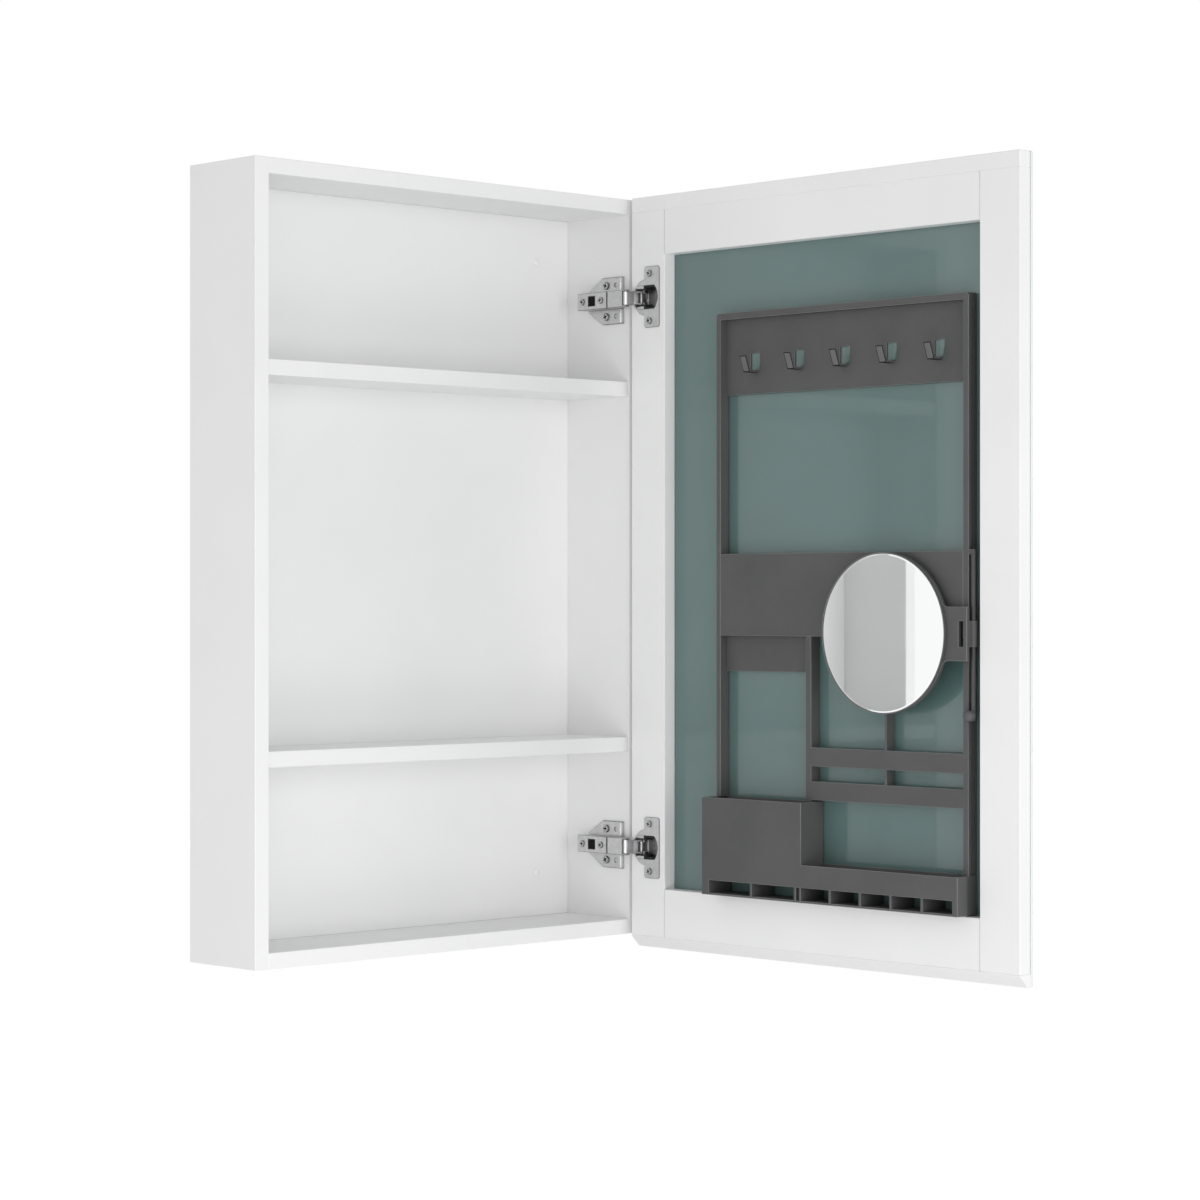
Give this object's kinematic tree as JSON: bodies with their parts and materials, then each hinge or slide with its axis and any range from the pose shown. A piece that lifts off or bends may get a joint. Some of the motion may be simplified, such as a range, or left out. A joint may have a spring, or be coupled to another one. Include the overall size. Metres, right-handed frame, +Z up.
{
  "type": "medicine cabinet",
  "caption": "White wall medicine cabinet with shelves, a framed mirror door on concealed cup hinges, a grey door organizer and a round shaving mirror on a sliding bracket.",
  "frame": {"origin": "middle of the four wall holes, on the back face of the cabinet", "axes": "+X to the right seen from the front, the front faces -Y, +Z up, with the door standing open at a right angle"},
  "size_m": [0.497, 0.612, 0.762],
  "materials": {
    "white_paint": "smooth satin white paint",
    "dowel_wood": "plain wood",
    "hinge_steel": "bright nickel plating",
    "insert_plastic": "dark moulded plastic",
    "organizer_plastic": "fine matte grey",
    "sleeve_plastic": "matte grey",
    "tape": "foam tape",
    "mirror_glass": "polished",
    "shaving_glass": "polished",
    "mirror_back_paint": "glossy grey green paint"
  },
  "bodies": {
    "cabinet": {"left_side_panel": "white_paint", "right_side_panel": "white_paint", "top_panel": "white_paint", "bottom_panel": "white_paint", "back_panel": "white_paint", "upper_shelf": "white_paint", "lower_shelf": "white_paint", "carcass_dowels": "dowel_wood", "shelf_dowels": "dowel_wood", "upper_mounting_plate": "hinge_steel", "lower_mounting_plate": "hinge_steel", "plate_screws": "hinge_steel", "upper_hinge_arm": "hinge_steel", "lower_hinge_arm": "hinge_steel", "arm_screws": "hinge_steel", "arm_pins": "hinge_steel"},
    "inner_links": {"upper_inner_link": "hinge_steel", "lower_inner_link": "hinge_steel"},
    "outer_links": {"upper_outer_link": "hinge_steel", "lower_outer_link": "hinge_steel"},
    "door": {"hinge_stile": "white_paint", "latch_stile": "white_paint", "top_rail": "white_paint", "bottom_rail": "white_paint", "top_edge_strip": "white_paint", "finger_pull_strip": "white_paint", "frame_dowels": "dowel_wood", "mirror_pane": "mirror_glass", "mirror_backing": "mirror_back_paint", "upper_hinge_cup": "hinge_steel", "lower_hinge_cup": "hinge_steel", "upper_cup_insert": "insert_plastic", "lower_cup_insert": "insert_plastic", "cup_screws": "hinge_steel", "cup_pins": "hinge_steel", "organizer_frame": "organizer_plastic", "hook_strip": "organizer_plastic", "organizer_band": "organizer_plastic", "lower_bin": "organizer_plastic", "tape_pads": "tape", "mirror_rod": "organizer_plastic", "rod_knob": "organizer_plastic"},
    "rod_sleeve": {"friction_sleeve": "sleeve_plastic"},
    "shaving_mirror": {"mirror_bracket": "organizer_plastic", "shaving_mirror_frame": "organizer_plastic", "shaving_mirror_glass": "shaving_glass"}
  },
  "joints": [
    {"name": "inner_link_turn", "type": "hinge", "parent": "cabinet", "child": "inner_links", "pos_m": [0.2195, -0.108, 0], "axis": [0, 0, 1], "range_deg": [-3.01, 54.01]},
    {"name": "door_turn", "type": "hinge", "parent": "inner_links", "child": "door", "pos_m": [0.23181, -0.12224, 0], "axis": [0, 0, 1], "range_deg": [-144, 8]},
    {"name": "outer_link_turn", "type": "hinge", "parent": "cabinet", "child": "outer_links", "pos_m": [0.224, -0.0995, 0], "axis": [0, 0, 1], "range_deg": [-2.51, 45.01]},
    {"name": "mirror_slide", "type": "slide", "parent": "door", "child": "rod_sleeve", "axis": [0, 0, 1], "range_m": [-0.026, 0.05]},
    {"name": "mirror_swing", "type": "hinge", "parent": "rod_sleeve", "child": "shaving_mirror", "pos_m": [0.23, -0.5557, 0], "axis": [0, 0, 1], "range_deg": [0, 24]}
  ],
  "couplings": [
    {"joint": "inner_link_turn", "follows": "door_turn", "ratio": -0.375},
    {"joint": "outer_link_turn", "follows": "door_turn", "ratio": -0.3125}
  ]
}
